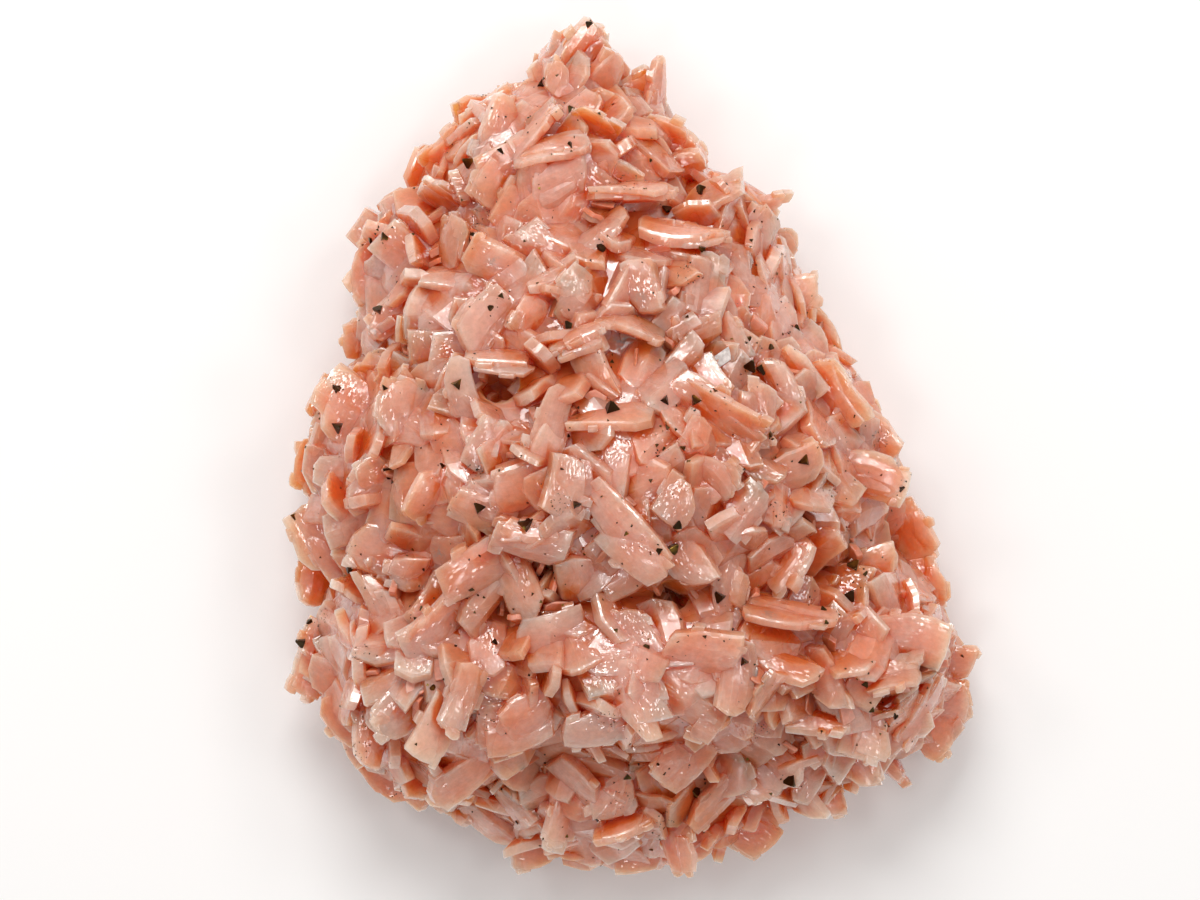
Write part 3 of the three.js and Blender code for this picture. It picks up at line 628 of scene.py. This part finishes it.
def dolomiteCluster(plan):
    lobes = lobesOf(plan)
    draw = randomStream(plan["seed"])
    large = largeCrystals(plan, lobes, draw)
    sites = growthSites(lobes, between, [crystal["middle"] for crystal in large])
    large += siteCrystals(sites, between, draw)
    for crystal in large:
        crystal["size"] = [length * share for length, share in zip(crystal["size"], plan["slimness"])]
    print("large crystals", len(large))
    draw = randomStream(plan["bookSeed"])
    leaves = [leaf for crystal in large for leaf in bookOf(crystal, draw)]
    leaves += [step for leaf in leaves for step in steppedRim(leaf, draw)]
    leaves += finerCrystals(lobes, large, draw)
    leaves += caveCrystals(lobes, draw)
    print("leaves in all", len(leaves))
    body = bodyObject(lobes)
    templates = {True: leafTemplates(grainShape), False: leafTemplates(bladeShape)}
    groups = leafGroups(leaves)
    for number, group in enumerate(groups):
        join(body, groupObject(f"leaves{number}", group, leaves, templates))
    print("joined in", len(groups), "groups")
    bm = block(slabSize)
    bmesh.ops.translate(bm, vec=(0, 0, -slabSize[2] / 2), verts=bm.verts)
    join(body, pieceFrom("slab", bm), "DIFFERENCE")
    stray = keepLargestPart(body.data)
    mesh = body.data
    mesh.transform(Matrix.Scale(mm, 4))
    sharpenEdges(mesh)
    print("dolomite triangles", sum(len(p.vertices) - 2 for p in mesh.polygons), "splinters deleted", stray)
    return body


skyRays = {"count": 18, "far": 15 * mm, "start": 0.9 * mm}  # for each vertex, from a little above it
dropHeight = 80  # things that are dropped onto the crystals start at this height
down = Vector((0, 0, -1))


def surfaceOf(mesh):
    return BVHTree.FromPolygons([v.co for v in mesh.vertices], [p.vertices for p in mesh.polygons])


def hollowOf(mesh, surface):  # how much of the sky over each vertex its neighbours block
    count, far = skyRays["count"], skyRays["far"]
    rays = [direction(math.sqrt((i + 0.5) / count), i * goldenAngle) for i in range(count)]
    hollow = np.zeros(len(mesh.vertices), dtype=np.float32)
    for vertex in mesh.vertices:
        normal = vertex.normal
        turn = normal.to_track_quat("Z", "Y").to_matrix()
        start = vertex.co + normal * skyRays["start"]
        for ray in rays:
            hit = surface.ray_cast(start, turn @ ray, far)
            if hit[0] is not None:
                hollow[vertex.index] += (1 - hit[3] / far) / count
    mesh.attributes.new("hollow", "FLOAT", "POINT").data.foreach_set("value", hollow)
    return hollow


druse = {"spacing": 1.9, "lowest": 1, "size": (2.6, 2.1, 1.3), "twist": 0.15, "sink": 0.3, "rise": 0,
         "wander": 1.5, "outward": 0, "lift": -0.1, "hollow": 0.62, "clearance": 9, "seed": 13}


def druseCrystals(plan, surface, hollow, hosts):  # small crystals grown where the cluster is deep
    lobes = lobesOf(plan)
    draw = randomStream(druse["seed"])
    leaves = []
    for point, normal in growthSites(lobes, druse):
        hit, out, face = surface.ray_cast((point + normal * druse["clearance"]) * mm, -normal)[:3]
        if hit is None or np.mean(hollow[list(hosts[face].vertices)]) < druse["hollow"]:
            continue
        leaves += siteCrystals([(hit / mm + normal * druse["lift"], normal)], druse, draw)
    print("druse crystals", len(leaves))
    leaves = [curvedLeaf(leaf, draw) for leaf in leaves]
    templates = leafTemplates({**grainShape, "cutsAlong": ()})
    return groupObject("dolomite_druse", range(len(leaves)), leaves, {True: templates, False: templates})


def perMetre(size):  # the scale of a pattern whose features are this many millimetres wide
    return 1 / (size * mm)


def newMaterial(name):
    material = bpy.data.materials.new(name)
    material.use_nodes = True
    material.node_tree.nodes.clear()
    return material, material.node_tree


def colourStops(ramp, *stops):
    elements = ramp.color_ramp.elements
    while len(elements) < len(stops):
        elements.new(0.5)
    for element, (position, hexCode) in zip(elements, stops):
        element.position, element.color = position, linearColour(hexCode)


dolomiteLook = {
    # width in millimetres, detail and roughness of each noise: zones of colour and veils in them, glossy
    # patches, cleavage blocks that lean, specks of sulphide dust, and ripples
    "noise": {"zones": (13, 2, 0.5), "veils": (3, 4, 0.7), "patches": (5, 1, 0.5), "blocks": (3, 0, 0.5),
              "specks": (0.65, 3, 0.7), "ripples": (0.75, 0, 0.5)},
    "fragments": 2, "spots": 8,  # millimetres between broken fragments, and between spots of dust
    # how many growth streaks and glinting facets lie along and across a crystal's square of the growth map
    "streaks": (4, 20, 0), "facets": (20, 34, 0),
    # the tone runs from pale pink at 0 to orange, and each of these moves it from its start
    "start": -0.77,
    # gaps and pits read the hollow attribute: painted shade, darker and more orange where neighbours block
    # the sky
    "tone": {"shade": 0.16, "zones": 0.88, "veils": 0.48, "streaks": 0.2, "fragments": 0.08, "gaps": 0.9,
             "pits": 0.5},
    "faces": ((0, "#DD9F8A"), (0.14, "#D68C73"), (0.3, "#D27B57"), (0.5, "#CF6B3B")),
    # the rim colour is partly the crystals' own paler zone and partly painted light, as if scattered out of
    # thin edges
    "rim": "#F3D3C6", "rimShare": 0.14, "dust": "#7A746A", "dustShare": 0.75,
    "lightness": (0.86, 1.08), "dapple": (0.88, 1.1),  # from crystal to crystal, and within one
    "dull": 0.42, "glossy": 0.16,  # roughness
    "facetLean": 0.42, "blockLean": 0.9,
}


# Saddle dolomite: a translucent carbonate grown in curved rhombs with a pearly lustre. The eye sees milky
# pink faces with paler rims, orange in the gaps, and white glints off single facets. Light scatters through
# it over some millimetres, and comes out redder.
def saddleDolomite(name, scatter, paintedShadeColour, glaze):
    material, tree = newMaterial(name)
    look = dolomiteLook
    coords = addNode(tree, "ShaderNodeTexCoord").outputs["Object"]
    hollow = addNode(tree, "ShaderNodeAttribute", {"attribute_name": "hollow"}).outputs["Fac"]
    growth = addNode(tree, "ShaderNodeUVMap", {"uv_map": "growth"}).outputs["UV"]
    along = addNode(tree, "ShaderNodeSeparateXYZ", i0=growth)
    shade = addNode(tree, "ShaderNodeUVMap", {"uv_map": "shade"}).outputs["UV"]
    shade = addNode(tree, "ShaderNodeSeparateXYZ", i0=shade).outputs["X"]
    noise = {}
    for kind, (size, detail, roughness) in look["noise"].items():
        noise[kind] = addNode(tree, "ShaderNodeTexNoise", Vector=coords, Scale=perMetre(size),
                              Detail=detail, Roughness=roughness)
    level = {kind: made.outputs["Fac"] for kind, made in noise.items()}

    # how near a place is to its crystal's rim, least at the rim
    part = addNode(tree, "ShaderNodeMath", {"operation": "FRACT"}, i0=along.outputs["X"])
    fromEnd = addNode(tree, "ShaderNodeMath", {"operation": "PINGPONG"}, i0=part.outputs[0], i1=0.5)
    fromSide = addNode(tree, "ShaderNodeMath", {"operation": "PINGPONG"}, i0=along.outputs["Y"], i1=0.5)
    rimPlace = addNode(tree, "ShaderNodeMath", {"operation": "MINIMUM"}, i0=fromEnd.outputs[0],
                       i1=fromSide.outputs[0])

    # the tone of the faces, with painted shade in the gaps between crystals: the more its neighbours block a
    # place's sky, the darker and more orange it is painted
    streaks = addNode(tree, "ShaderNodeVectorMath", {"operation": "MULTIPLY"}, i0=growth, i1=look["streaks"])
    streaks = addNode(tree, "ShaderNodeTexNoise", Vector=streaks.outputs["Vector"], Scale=1, Detail=3,
                      Roughness=0.6).outputs["Fac"]
    fragments = addNode(tree, "ShaderNodeTexVoronoi", Vector=coords, Scale=perMetre(look["fragments"]))
    fragments = addNode(tree, "ShaderNodeSeparateXYZ", i0=fragments.outputs["Color"]).outputs["X"]
    # painted shade: the deepest places are painted darker still
    pits = addNode(tree, "ShaderNodeMapRange", Value=hollow, From_Min=0.34, From_Max=0.62).outputs["Result"]
    sources = {"shade": shade, "zones": level["zones"], "veils": level["veils"], "streaks": streaks,
               "fragments": fragments, "gaps": hollow, "pits": pits}
    tone = look["start"]
    for kind, source in sources.items():
        tone = addNode(tree, "ShaderNodeMath", {"operation": "MULTIPLY_ADD"}, i0=source,
                       i1=look["tone"][kind], i2=tone).outputs[0]
    faces = addNode(tree, "ShaderNodeValToRGB", i0=tone)
    # the last stops hold the painted shade colour of the deepest places
    colourStops(faces, *look["faces"], (0.8, paintedShadeColour), (1, paintedShadeColour))
    # a paler rim round each crystal: partly its own paler zone, partly painted light of its thin edges
    ragged = addNode(tree, "ShaderNodeMath", {"operation": "MULTIPLY_ADD"}, i0=level["veils"], i1=0.3,
                     i2=rimPlace.outputs[0])
    rim = addNode(tree, "ShaderNodeMapRange", Value=ragged.outputs[0], From_Min=0.38, From_Max=0.22,
                  To_Max=look["rimShare"])
    rimmed = addNode(tree, "ShaderNodeMix", {"data_type": "RGBA"}, i0=rim.outputs["Result"],
                     i6=faces.outputs["Color"], i7=linearColour(look["rim"]))

    # greyish smudges where sulphide dust lies in the faces, then the lightness of each crystal and place
    spots = addNode(tree, "ShaderNodeTexVoronoi", Vector=coords, Scale=perMetre(look["spots"]))
    spots = addNode(tree, "ShaderNodeMapRange", Value=spots.outputs["Distance"], From_Min=0.17,
                    From_Max=0.03)
    dust = addNode(tree, "ShaderNodeMapRange", Value=level["specks"], From_Min=0.42, From_Max=0.62,
                   To_Max=look["dustShare"])
    dust = addNode(tree, "ShaderNodeMath", {"operation": "MULTIPLY"}, i0=spots.outputs["Result"],
                   i1=dust.outputs["Result"])
    dusty = addNode(tree, "ShaderNodeMix", {"data_type": "RGBA"}, i0=dust.outputs[0],
                    i6=rimmed.outputs[2], i7=linearColour(look["dust"]))
    dapple = addNode(tree, "ShaderNodeMapRange", Value=level["specks"], From_Min=0.3, From_Max=0.7,
                     To_Min=look["dapple"][0], To_Max=look["dapple"][1])
    own = addNode(tree, "ShaderNodeMath", {"operation": "MULTIPLY"}, i0=shade, i1=3)
    own = addNode(tree, "ShaderNodeMath", {"operation": "FRACT"}, i0=own.outputs[0])
    own = addNode(tree, "ShaderNodeMapRange", Value=own.outputs[0], To_Min=look["lightness"][0],
                  To_Max=look["lightness"][1])
    lightness = addNode(tree, "ShaderNodeMath", {"operation": "MULTIPLY"}, i0=own.outputs["Result"],
                        i1=dapple.outputs["Result"])
    colour = addNode(tree, "ShaderNodeVectorMath", {"operation": "SCALE"}, i0=dusty.outputs[2],
                     Scale=lightness.outputs[0])

    # faint ripples, under a pearly coat whose facets and blocks each lean and glint on their own
    relief = addNode(tree, "ShaderNodeMath", {"operation": "MULTIPLY_ADD"}, i0=streaks, i1=0.4,
                     i2=level["ripples"])
    bump = addNode(tree, "ShaderNodeBump", Strength=0.6, Distance=0.03 * mm, Height=relief.outputs[0])
    facets = addNode(tree, "ShaderNodeVectorMath", {"operation": "MULTIPLY"}, i0=growth, i1=look["facets"])
    facets = addNode(tree, "ShaderNodeTexVoronoi", Vector=facets.outputs["Vector"], Scale=1)
    glint = bump.outputs["Normal"]
    for pattern, share in ((facets, look["facetLean"]), (noise["blocks"], look["blockLean"])):
        lean = addNode(tree, "ShaderNodeVectorMath", {"operation": "SUBTRACT"}, i0=pattern.outputs["Color"],
                       i1=(0.5, 0.5, 0.5))
        lean = addNode(tree, "ShaderNodeVectorMath", {"operation": "SCALE"}, i0=lean.outputs["Vector"],
                       Scale=share)
        glint = addNode(tree, "ShaderNodeVectorMath", {"operation": "ADD"}, i0=glint,
                        i1=lean.outputs["Vector"]).outputs["Vector"]
    glint = addNode(tree, "ShaderNodeVectorMath", {"operation": "NORMALIZE"}, i0=glint)
    gloss, coat = (addNode(tree, "ShaderNodeMapRange", Value=level["patches"], From_Min=0.42, From_Max=0.54,
                           To_Min=low, To_Max=high).outputs["Result"]
                   for low, high in ((look["dull"], look["glossy"]), (0.05, glaze)))
    shader = addNode(tree, "ShaderNodeBsdfPrincipled", {"subsurface_method": "RANDOM_WALK"},
                     Base_Color=colour.outputs["Vector"], Roughness=gloss, IOR=1.68,
                     Normal=bump.outputs["Normal"], Coat_Weight=coat, Coat_IOR=1.8, Coat_Roughness=0.05,
                     Coat_Normal=glint.outputs["Vector"], Subsurface_Weight=1.0,
                     Subsurface_Radius=(1.0, 0.68, 0.5), Subsurface_Scale=scatter * mm)
    addNode(tree, "ShaderNodeOutputMaterial", Surface=shader.outputs["BSDF"])
    return material


# Chalcopyrite: a brassy copper iron sulphide whose faces tarnish in air. The eye sees small, nearly black
# brown crystals with olive and gold where a face is fresher.
chalcopyriteLook = {"patches": 2.4, "pits": 0.4,  # in millimetres
                    "tarnish": ((0.42, "#3B2A1C"), (0.58, "#4E3D22"), (0.7, "#8F7434"))}


def tarnishedChalcopyrite():
    material, tree = newMaterial("tarnishedChalcopyrite")
    coords = addNode(tree, "ShaderNodeTexCoord").outputs["Object"]
    look = chalcopyriteLook
    patches = addNode(tree, "ShaderNodeTexNoise", Vector=coords, Scale=perMetre(look["patches"]), Detail=3)
    ramp = addNode(tree, "ShaderNodeValToRGB", i0=patches.outputs["Fac"])
    colourStops(ramp, *look["tarnish"])
    pits = addNode(tree, "ShaderNodeTexNoise", Vector=coords, Scale=perMetre(look["pits"]), Detail=2)
    bump = addNode(tree, "ShaderNodeBump", Strength=0.5, Distance=0.1 * mm, Height=pits.outputs["Fac"])
    shader = addNode(tree, "ShaderNodeBsdfPrincipled", Base_Color=ramp.outputs["Color"], Metallic=1.0,
                     Roughness=0.3, Normal=bump.outputs["Normal"])
    addNode(tree, "ShaderNodeOutputMaterial", Surface=shader.outputs["BSDF"])
    return material


# Grains too small for the solids drop onto the crystals from above, and loose dust comes from all round.
mediumGrains = (  # x, y, size
    (-5, 48.7, 0.8), (-7.3, 38.6, 1), (-7.3, 34.1, 0.8), (-15.3, 33.6, 0.9), (-28.5, 24.1, 0.8),
    (-30.2, 24, 0.8), (-18.3, 23.8, 0.7), (-4, 22.5, 1.1), (3.6, 27, 0.9), (7.6, 29.3, 1),
    (7.7, 22.4, 0.9), (-29.1, 15.7, 0.7), (-16, 15.7, 0.8), (-14.9, 17.1, 0.6), (-33.9, 6.8, 0.7),
    (-28.1, 6.6, 0.7), (-2.6, 9.6, 0.7), (8.8, 6.3, 0.7), (12.9, 12.4, 0.7), (15.3, 11.5, 0.8),
    (18.4, 13.8, 1), (15, 1.4, 0.8), (15, -0.2, 0.7), (3.6, 2.3, 0.9), (2.4, 0.3, 0.6), (3.2, -0.1, 0.6),
    (2.4, -0.9, 0.5), (5.4, 0.1, 0.6), (-21.4, -2.1, 0.7), (30.2, -4.6, 0.7), (-39.3, -7.8, 0.8),
    (-32.3, -13.6, 0.8), (-11.4, -16.2, 0.7), (-15.9, -21.7, 0.8), (-24, -18.1, 0.6), (-37.3, -19.9, 0.8),
    (-22.5, -26.6, 0.8), (-18.3, -15.8, 0.6), (2.6, -11.5, 0.8), (7.7, -20.9, 0.6), (21, -18, 0.7),
    (21.4, -19.5, 0.6), (25.7, -12, 0.8), (26, -14.3, 0.7), (26, -26.4, 0.8), (26.8, -29.6, 0.7),
    (29.6, -30.3, 0.7), (28.7, -31.5, 0.7), (-0.8, -37.2, 0.8), (-0.9, -9.4, 0.6), (1.4, -22.1, 0.7),
    (4.4, -8.6, 1.1), (14, 9, 1.3),
)
fineGrains = (  # x, y
    (-10.3, 42.5), (-8.9, 42.6), (-4, 37.8), (-16.2, 38.6), (-14.6, 37.6), (-11.8, 37.6), (-18.8, 37.2),
    (-20.9, 34.9), (-10.7, 29.1), (-24.4, 31), (-25.3, 30), (-27.5, 25.1), (-19.5, 28.1), (1.8, 32.6),
    (13.7, 27), (13.4, 24.9), (13.2, 23.6), (-7.4, 15.3), (-36.5, 4), (-7.4, 1.3), (-8.2, -2.3),
    (-38.2, -2.6), (-33.4, -4.5), (-27.2, -3.9), (-11.9, -6.1), (10.9, 12.2), (13.2, 13.4), (24.9, 3.7),
    (1.7, -3.7), (5.9, 14.7), (7.1, 19.2), (23.8, -2.6), (24.1, -1.5), (28, -3), (-36.1, -12.6),
    (-25.6, -12.1), (-25, -11.3), (-23.8, -13.6), (-20, -22.1), (-16.4, -25.8), (-13.6, -17.9),
    (-33.4, -29.3), (-5.8, -11.2), (-5.6, -11.8), (2.4, -10.6), (10.9, -20.2), (-2.1, -20.2), (5, -19.1),
    (23.6, -24.7), (26.6, -24), (21, -31.9), (18.7, -28.8), (20.5, -25.5), (13.5, -26), (27.9, -32.4),
    (33.4, -27.3), (38.1, -24.1), (13, -35.4), (24.8, -36.8), (15.6, -39.6), (2.1, -46.3), (6.2, -35.8),
    (2.6, -35.6), (3.3, -36.8), (8.1, -38.4), (-24.1, -42.3), (-10.4, -44.6), (-15.2, -39.1),
    (-13.4, -43.1), (-7.7, -44.5),
)
smudges = (  # x, y of faces that fine sulphide dust lies in
    (-17.4, 26.3), (-0.6, 30), (5.8, 19.4), (-17.9, -2.9), (-8.2, -5.9), (28.1, 1), (21.7, -4.8),
    (15.9, -7), (-36.2, -19.2), (-30.9, -23), (-16.8, -30.6), (-30.6, -30.9), (-30.9, -34.2),
    (-27.4, -39.7), (-3.3, -30.2), (-1.7, -39.9), (3.6, -42.5), (14.2, -31.9), (-18, 41.8),
)
grainPlan = {
    "seed": 67, "sink": 0.1, "lean": 0.9, "breadth": (0.75, 1.1), "height": (0.7, 1),
    "fineSize": (0.28, 0.48), "crowd": 3, "crowdReach": 1.6,
    "smudgeCount": 22, "smudgeReach": 1.1, "smudgeSize": (0.09, 0.2),
    "dustCount": 620, "dustSize": (0.12, 0.34), "dustFrom": 90, "dustMiddle": (0, 0, 10),
    "dustAcross": (-20, 20), "dustAlong": (-30, 30), "dustHeight": 8, "lowest": 2,
}
sphenoid = {"radius": 0.78, "height": 1.1, "corner": 0.22}  # for a grain of size 1


def grainTemplate():  # a tetrahedron with its corners cut, as small sphenoidal sulphide crystals are
    bm = bmesh.new()
    bmesh.ops.create_cone(bm, cap_ends=True, segments=3, radius1=sphenoid["radius"], radius2=0,
                          depth=sphenoid["height"])
    ease(bm, bm.verts[:], sphenoid["corner"], "VERTICES")
    return takenApart(bm)


def grainMesh(name, grains, draw):
    unit, templateFaces = grainTemplate()
    vertices, faces = [], []
    for point, normal, size in grains:
        axis = (normal + grainPlan["lean"] * randomDirection(draw)).normalized()
        side = axis.cross(randomDirection(draw)).normalized()
        axes = np.array((side.cross(axis), side, axis))
        first = len(vertices) * len(unit)
        share = np.array((1, spread(draw, *grainPlan["breadth"]), spread(draw, *grainPlan["height"])))
        vertices.append(unit * size * share @ axes + np.array(point))
        faces += [[first + corner for corner in face] for face in templateFaces]
    return copiesJoined(name, np.concatenate(vertices) * mm, faces)


def chalcopyriteGrains(plan, surface):
    draw = randomStream(plan["seed"])
    grains = []

    def settle(start, way, size):
        hit, normal = surface.ray_cast(Vector(start) * mm, way)[:2]
        if hit is not None and hit.z > plan["lowest"] * mm:
            grains.append((hit / mm + normal * plan["sink"] * size, normal, size))

    for x, y, size in mediumGrains:
        settle((x, y, dropHeight), down, size)
        for number in range(plan["crowd"]):
            off = plan["crowdReach"]
            settle((x + spread(draw, -off, off), y + spread(draw, -off, off), dropHeight), down,
                   spread(draw, *plan["dustSize"]))
    for x, y in fineGrains:
        settle((x, y, dropHeight), down, spread(draw, *plan["fineSize"]))
    for x, y in smudges:
        for number in range(plan["smudgeCount"]):
            out = plan["smudgeReach"] * randomDirection(draw)
            settle((x + out.x, y + out.y, dropHeight), down, spread(draw, *plan["smudgeSize"]))
    for number in range(plan["dustCount"]):
        out = randomDirection(draw)
        out.z = abs(out.z)
        start = Vector(plan["dustMiddle"]) + plan["dustFrom"] * out
        target = Vector((spread(draw, *plan["dustAcross"]), spread(draw, *plan["dustAlong"]),
                         plan["dustHeight"]))
        low, high = plan["dustSize"]
        settle(start, (target - start).normalized(), low + (high - low) * draw() ** 2)
    print("chalcopyrite grains", len(grains))
    return grainMesh("chalcopyrite_grains", grains, draw)


seat = {"out": 0.1, "edge": 0.04 * mm}  # share of its height that a crystal's middle stands out


def seatedCopy(nodeName, surface):  # a chalcopyrite crystal with eased edges, set on the finer crystals
    bm = bmesh.new()
    bm.from_mesh(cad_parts[nodeName].data)
    bmesh.ops.remove_doubles(bm, verts=bm.verts, dist=1e-6)
    bmesh.ops.dissolve_limit(bm, angle_limit=math.radians(1), verts=bm.verts, edges=bm.edges)
    ease(bm, bm.edges[:], seat["edge"])
    low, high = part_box(nodeName)
    middle = (low + high) / 2
    hit, normal = surface.ray_cast(Vector((middle.x, middle.y, dropHeight * mm)), down)[:2]
    bmesh.ops.translate(bm, vec=hit + normal * seat["out"] * (high - low).z - middle, verts=bm.verts)
    return pieceFrom("grown_" + nodeName, bm)


dolomite = dolomiteCluster(cluster)
dolomite.data.materials.clear()
dolomite.data.materials.append(saddleDolomite("pinkDolomite", scatter=9, paintedShadeColour="#CE5A22", glaze=1.0))
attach(dolomite, "root")
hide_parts("dolomite_cluster")

surface = surfaceOf(dolomite.data)
# how far neighbours block each vertex's sky, which the dolomite's colour turns into painted shade
hollow = hollowOf(dolomite.data, surface)
print("hollow", np.percentile(hollow, (5, 25, 50, 75, 95)))

small = druseCrystals(cluster, surface, hollow, dolomite.data.polygons)
small.data.transform(Matrix.Scale(mm, 4))
small.data.update()
sharpenEdges(small.data)
# the druse crystals take the same painted shade from how deep they lie
hollowOf(small.data, surface)
small.data.materials.append(saddleDolomite("druseDolomite", scatter=0.6, paintedShadeColour="#C46E46", glaze=0.3))
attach(small, "root")


flakePlan = {"place": (9.7, 10), "size": (2.3, 1.4, 0.14), "edge": 0.03, "shear": 0.35, "turn": 35,
             "lean": 14, "lift": 0.35, "clouds": 0.6}


def cleavageFlake(surface):  # a loose splinter of clear dolomite that lies on the crystals
    hit = surface.ray_cast(Vector((*flakePlan["place"], dropHeight)) * mm, down)[0]
    bm = block(Vector(flakePlan["size"]) * mm)
    for vertex in bm.verts:
        vertex.co.x += flakePlan["shear"] * vertex.co.y
    ease(bm, bm.edges[:], flakePlan["edge"] * mm)
    lean = Matrix.Rotation(math.radians(flakePlan["lean"]), 3, "X")
    turn = Matrix.Rotation(math.radians(flakePlan["turn"]), 3, "Z")
    bmesh.ops.rotate(bm, matrix=turn @ lean, verts=bm.verts)
    bmesh.ops.translate(bm, vec=hit + Vector((0, 0, flakePlan["lift"] * mm)), verts=bm.verts)
    return pieceFrom("dolomite_flake", bm)


def clearDolomite():  # dolomite split along its cleavage: clouded greyish white, smooth enough to glint
    material, tree = newMaterial("clearDolomite")
    coords = addNode(tree, "ShaderNodeTexCoord").outputs["Object"]
    clouds = addNode(tree, "ShaderNodeTexNoise", Vector=coords, Scale=perMetre(flakePlan["clouds"]),
                     Detail=3)
    ramp = addNode(tree, "ShaderNodeValToRGB", i0=clouds.outputs["Fac"])
    colourStops(ramp, (0.35, "#B9AEA8"), (0.65, "#E9E3DE"))
    shader = addNode(tree, "ShaderNodeBsdfPrincipled", Base_Color=ramp.outputs["Color"], Roughness=0.22,
                     IOR=1.68)
    addNode(tree, "ShaderNodeOutputMaterial", Surface=shader.outputs["BSDF"])
    return material


flake = cleavageFlake(surface)
flake.data.materials.append(clearDolomite())
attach(flake, "root")

sulphide = tarnishedChalcopyrite()
for nodeName in sorted(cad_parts):
    if nodeName.startswith("chalcopyrite"):
        grown = seatedCopy(nodeName, surface)
        grown.data.materials.append(sulphide)
        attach(grown, "root")
        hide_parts(nodeName)
print("chalcopyrite crystals seated")
grains = chalcopyriteGrains(grainPlan, surface)
grains.data.materials.append(sulphide)
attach(grains, "root")


studio = {
    # in millimetres: the view looks straight down, and is fieldWidth wide at focusHeight
    "viewCentre": (-3.92, -0.23), "focusHeight": 15, "cameraDistance": 520, "fieldWidth": 138.2,
    "sensor": 36, "ambient": 0.5, "floor": "#F6F4F2", "floorHalf": 1500,
    "lights": {  # place, what it faces, diameter, power in watts
        "softbox": ((-60, 340, 430), (0, 8, 15), 270, 1.6),
        "sideBox": ((220, 210, 460), (0, 0, 15), 140, 0.3),
        "leftWindow": ((-260, 160, 450), (0, 0, 15), 120, 0.24),
        "rightWindow": ((270, -20, 450), (0, 0, 15), 110, 0.16),
        "lowWindow": ((-60, -200, 490), (0, 0, 15), 110, 0.2),
    },
}


def softLight(name, place, target, size, power):
    lamp = bpy.data.lights.new(name, "AREA")
    lamp.shape = "DISK"
    lamp.size = size * mm
    lamp.energy = power
    holder = bpy.data.objects.new(name, lamp)
    holder.location = Vector(place) * mm
    holder.rotation_euler = (Vector(target) * mm - holder.location).to_track_quat("-Z", "Y").to_euler()
    bpy.context.scene.collection.objects.link(holder)


def makeStudio():
    bm = bmesh.new()
    bmesh.ops.create_grid(bm, x_segments=1, y_segments=1, size=studio["floorHalf"] * mm)
    floor = pieceFrom("floor", bm)
    material = bpy.data.materials.new("paleFloor")
    material.use_nodes = True
    shader = material.node_tree.nodes["Principled BSDF"]
    shader.inputs["Base Color"].default_value = linearColour(studio["floor"])
    shader.inputs["Roughness"].default_value = 0.9
    floor.data.materials.append(material)
    world = bpy.data.worlds.new("studio")
    world.use_nodes = True
    world.node_tree.nodes["Background"].inputs["Color"].default_value = (1, 1, 1, 1)
    world.node_tree.nodes["Background"].inputs["Strength"].default_value = studio["ambient"]
    bpy.context.scene.world = world
    for name, (place, target, size, power) in studio["lights"].items():
        softLight(name, place, target, size, power)
    bpy.context.scene.view_settings.view_transform = "Standard"
    camera = bpy.data.cameras.new("camera")
    camera.sensor_width = studio["sensor"]
    away = studio["cameraDistance"] - studio["focusHeight"]
    camera.lens = studio["sensor"] * away / studio["fieldWidth"]
    holder = bpy.data.objects.new("camera", camera)
    holder.location = Vector((*studio["viewCentre"], studio["cameraDistance"])) * mm
    bpy.context.scene.collection.objects.link(holder)
    bpy.context.scene.camera = holder


makeStudio()
